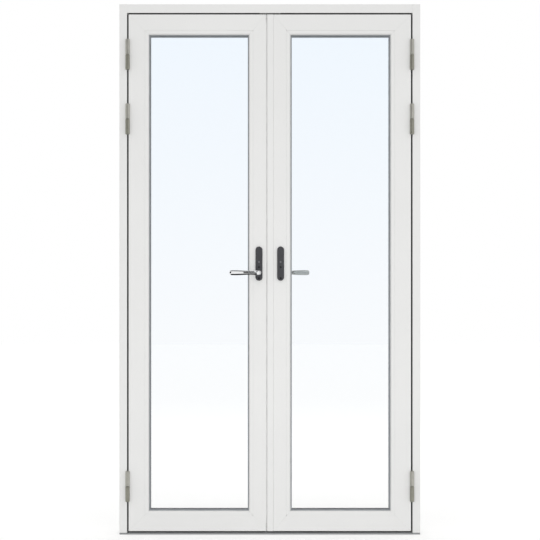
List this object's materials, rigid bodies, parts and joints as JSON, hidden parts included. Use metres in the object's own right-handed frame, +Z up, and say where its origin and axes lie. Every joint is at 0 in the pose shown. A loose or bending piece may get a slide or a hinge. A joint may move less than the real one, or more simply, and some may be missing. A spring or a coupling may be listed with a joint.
{
  "type": "french doors",
  "caption": "Pair of glazed outward-opening doors in a white frame with a low sill, hung on lift-off hinges and locked by lever-driven shoot bolts.",
  "frame": {"origin": "on the underside of the sill, at mid width and mid depth of the frame", "axes": "+Z up, +X to the right seen from the side the doors open to, -Y towards that side"},
  "size_m": [1.18, 0.174, 2.08],
  "materials": {
    "white_lacquer": "satin white lacquer",
    "sill_aluminium": "dark anodised",
    "seal_rubber": "matt",
    "hinge_steel": "zinc plated, satin",
    "lock_steel": "zinc plated",
    "handle_plate": "dark grey satin",
    "lever_chrome": "polished",
    "glass": "clear float glass",
    "spacer": "grey warm edge",
    "block_plastic": "moulded"
  },
  "bodies": {
    "frame": {"left_jamb": "white_lacquer", "right_jamb": "white_lacquer", "head": "white_lacquer", "sill": "sill_aluminium", "frame_seal": "seal_rubber", "head_keep": "lock_steel", "sill_keep": "lock_steel", "left_frame_hinges": "hinge_steel", "right_frame_hinges": "hinge_steel", "left_hinge_pins": "lock_steel", "right_hinge_pins": "lock_steel"},
    "left_leaf": {"left_hinge_stile": "white_lacquer", "left_lock_stile": "white_lacquer", "left_top_rail": "white_lacquer", "left_bottom_rail": "white_lacquer", "left_glazing_beads": "white_lacquer", "left_gaskets": "seal_rubber", "left_outer_pane": "glass", "left_inner_pane": "glass", "left_spacer": "spacer", "left_setting_blocks": "block_plastic", "left_leaf_hinges": "hinge_steel", "left_outer_plate": "handle_plate", "left_inner_plate": "handle_plate", "left_plate_screws": "lock_steel", "left_gear_case": "lock_steel", "left_gear_cover": "lock_steel", "left_faceplate": "lock_steel"},
    "right_leaf": {"right_hinge_stile": "white_lacquer", "right_lock_stile": "white_lacquer", "right_top_rail": "white_lacquer", "right_bottom_rail": "white_lacquer", "right_glazing_beads": "white_lacquer", "right_gaskets": "seal_rubber", "right_outer_pane": "glass", "right_inner_pane": "glass", "right_spacer": "spacer", "right_setting_blocks": "block_plastic", "right_leaf_hinges": "hinge_steel", "right_outer_plate": "handle_plate", "right_inner_plate": "handle_plate", "right_plate_screws": "lock_steel", "right_gear_case": "lock_steel", "right_gear_cover": "lock_steel", "right_faceplate": "lock_steel", "meeting_post": "white_lacquer", "meeting_seal": "seal_rubber"},
    "left_lever": {"left_outer_lever": "lever_chrome", "left_inner_lever": "lever_chrome", "left_spindle": "lock_steel", "left_pinion": "lock_steel"},
    "right_lever": {"right_inner_lever": "lever_chrome", "right_spindle": "lock_steel", "right_pinion": "lock_steel"},
    "left_upper_bolt": {"left_upper_rod": "lock_steel"},
    "left_lower_bolt": {"left_lower_rod": "lock_steel"},
    "right_upper_bolt": {"right_upper_rod": "lock_steel"},
    "right_lower_bolt": {"right_lower_rod": "lock_steel"}
  },
  "joints": [
    {"name": "left_leaf_swing", "type": "hinge", "parent": "frame", "child": "left_leaf", "pos_m": [-0.557, -0.0665, 1.04], "axis": [0, 0, -1], "range_deg": [0, 110]},
    {"name": "left_lever_turn", "type": "hinge", "parent": "left_leaf", "child": "left_lever", "pos_m": [-0.0424, -0.0275, 1.027], "axis": [0, -1, 0], "range_deg": [0, 90]},
    {"name": "right_leaf_swing", "type": "hinge", "parent": "frame", "child": "right_leaf", "pos_m": [0.557, -0.0665, 1.04], "axis": [0, 0, 1], "range_deg": [0, 110]},
    {"name": "right_lever_turn", "type": "hinge", "parent": "right_leaf", "child": "right_lever", "pos_m": [0.0424, -0.0275, 1.027], "axis": [0, 1, 0], "range_deg": [0, 90]},
    {"name": "left_upper_bolt_slide", "type": "slide", "parent": "left_leaf", "child": "left_upper_bolt", "axis": [0, 0, 1], "range_m": [0, 0.0165]},
    {"name": "left_lower_bolt_slide", "type": "slide", "parent": "left_leaf", "child": "left_lower_bolt", "axis": [0, 0, -1], "range_m": [0, 0.0165]},
    {"name": "right_upper_bolt_slide", "type": "slide", "parent": "right_leaf", "child": "right_upper_bolt", "axis": [0, 0, 1], "range_m": [0, 0.0165]},
    {"name": "right_lower_bolt_slide", "type": "slide", "parent": "right_leaf", "child": "right_lower_bolt", "axis": [0, 0, -1], "range_m": [0, 0.0165]}
  ],
  "couplings": [
    {"joint": "left_upper_bolt_slide", "follows": "left_lever_turn", "m_per_rad": 0.0105},
    {"joint": "left_lower_bolt_slide", "follows": "left_lever_turn", "m_per_rad": 0.0105},
    {"joint": "right_upper_bolt_slide", "follows": "right_lever_turn", "m_per_rad": 0.0105},
    {"joint": "right_lower_bolt_slide", "follows": "right_lever_turn", "m_per_rad": 0.0105}
  ]
}
